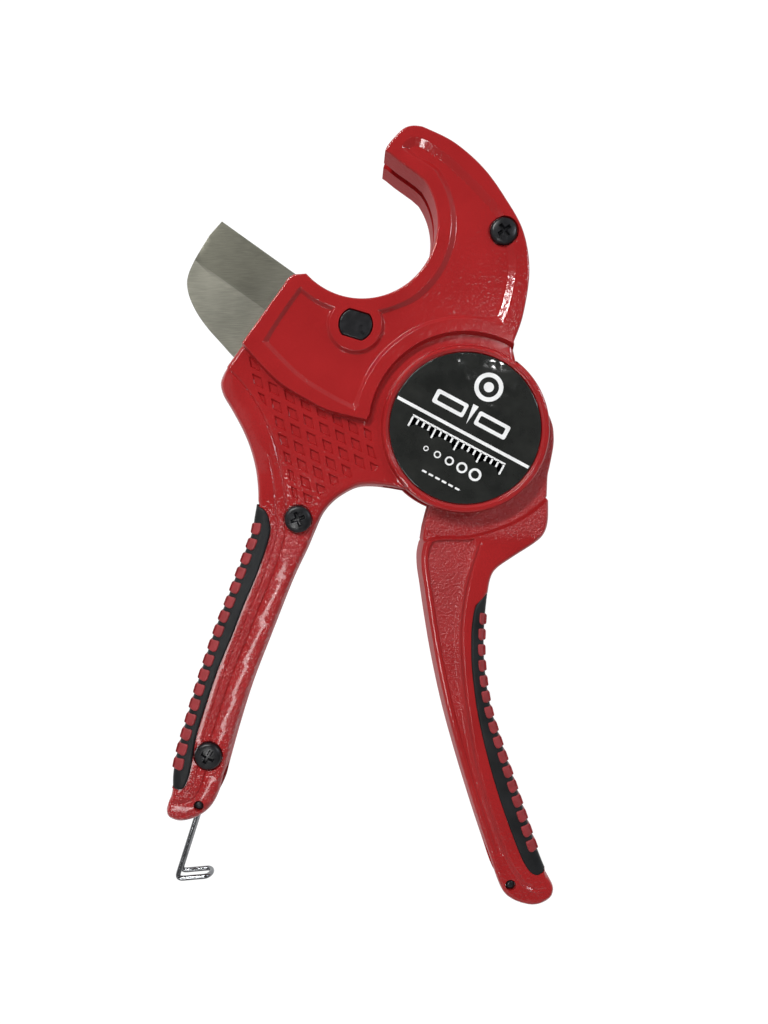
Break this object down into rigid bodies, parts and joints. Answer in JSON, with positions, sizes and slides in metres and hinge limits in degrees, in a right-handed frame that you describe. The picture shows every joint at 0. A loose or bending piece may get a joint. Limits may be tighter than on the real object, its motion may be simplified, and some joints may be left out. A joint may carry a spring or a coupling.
{
  "type": "ratcheting pipe cutter",
  "caption": "Hand-held ratcheting cutter for plastic pipe, with a hooked jaw, a swinging blade, two gripped handles and a wire latch.",
  "frame": {"origin": "on the moving handle's turning axis, at the flat face of the round cover on the back, which the tool rests on", "axes": "+Z through the tool's thickness towards its front face, +Y towards the hook, +X from the fixed handle towards the moving handle"},
  "size_m": [0.1163, 0.2312, 0.0227],
  "materials": {
    "red_enamel": "glossy red enamel on die-cast aluminium",
    "grip_rubber": "matt black rubber",
    "grip_block_red": "matt red moulded blocks",
    "blade_steel": "ground steel with a bevelled cutting edge",
    "pawl_steel": "plain machined steel",
    "bright_steel": "bright turned steel",
    "spring_steel": "drawn spring wire",
    "black_steel": "black oxide steel",
    "chrome_wire": "bright plated wire",
    "label_black": "glossy black label on a thin disc"
  },
  "bodies": {
    "body": {"front_shell": "red_enamel", "back_shell": "red_enamel", "hook_screw": "black_steel", "upper_handle_screw": "black_steel", "lower_handle_screw": "black_steel", "blade_pivot_pin": "black_steel", "blade_pin_screw": "black_steel", "handle_pivot_pin": "bright_steel", "pivot_circlip": "bright_steel", "label_disc": "label_black", "back_cover_disc": "label_black", "holding_pawl_pin": "bright_steel", "blade_return_spring": "spring_steel", "fixed_grip": "grip_rubber", "fixed_grip_blocks": "grip_block_red", "latch_pin": "black_steel"},
    "handle": {"moving_handle": "red_enamel", "drive_pawl_pin": "bright_steel", "handle_return_spring": "spring_steel", "moving_grip": "grip_rubber", "moving_grip_blocks": "grip_block_red", "catch_pin": "black_steel"},
    "cutting_blade": {"blade": "blade_steel"},
    "drive_ratchet": {"drive_pawl": "pawl_steel", "drive_pawl_spring": "spring_steel"},
    "holding_ratchet": {"holding_pawl": "pawl_steel", "holding_pawl_spring": "spring_steel"},
    "latch": {"latch_wire": "chrome_wire"}
  },
  "joints": [
    {"name": "handle_squeeze", "type": "hinge", "parent": "body", "child": "handle", "pos_m": [0, 0, 0.011], "axis": [0, 0, 1], "range_deg": [-32, 0], "stiffness_Nm_per_rad": 0.05, "springref_deg": 11.46, "deforming": ["handle_return_spring"]},
    {"name": "blade_swing", "type": "hinge", "parent": "body", "child": "cutting_blade", "pos_m": [-0.0324, 0.0306, 0.011], "axis": [0, 0, 1], "range_deg": [-96, 0]},
    {"name": "drive_pawl_follow", "type": "hinge", "parent": "handle", "child": "drive_ratchet", "pos_m": [0.00295, -0.0167, 0.011], "axis": [0, 0, 1], "range_deg": [0, 31.5]},
    {"name": "holding_pawl_click", "type": "hinge", "parent": "body", "child": "holding_ratchet", "pos_m": [-0.0593, 0.0124, 0.011], "axis": [0, 0, 1], "range_deg": [0, 5.5]},
    {"name": "latch_swing", "type": "hinge", "parent": "body", "child": "latch", "pos_m": [-0.0791, -0.1122, 0.011], "axis": [0, 0, 1], "range_deg": [0, 73]}
  ],
  "couplings": [
    {"joint": "drive_pawl_follow", "follows": "handle_squeeze", "ratio": -0.985}
  ]
}
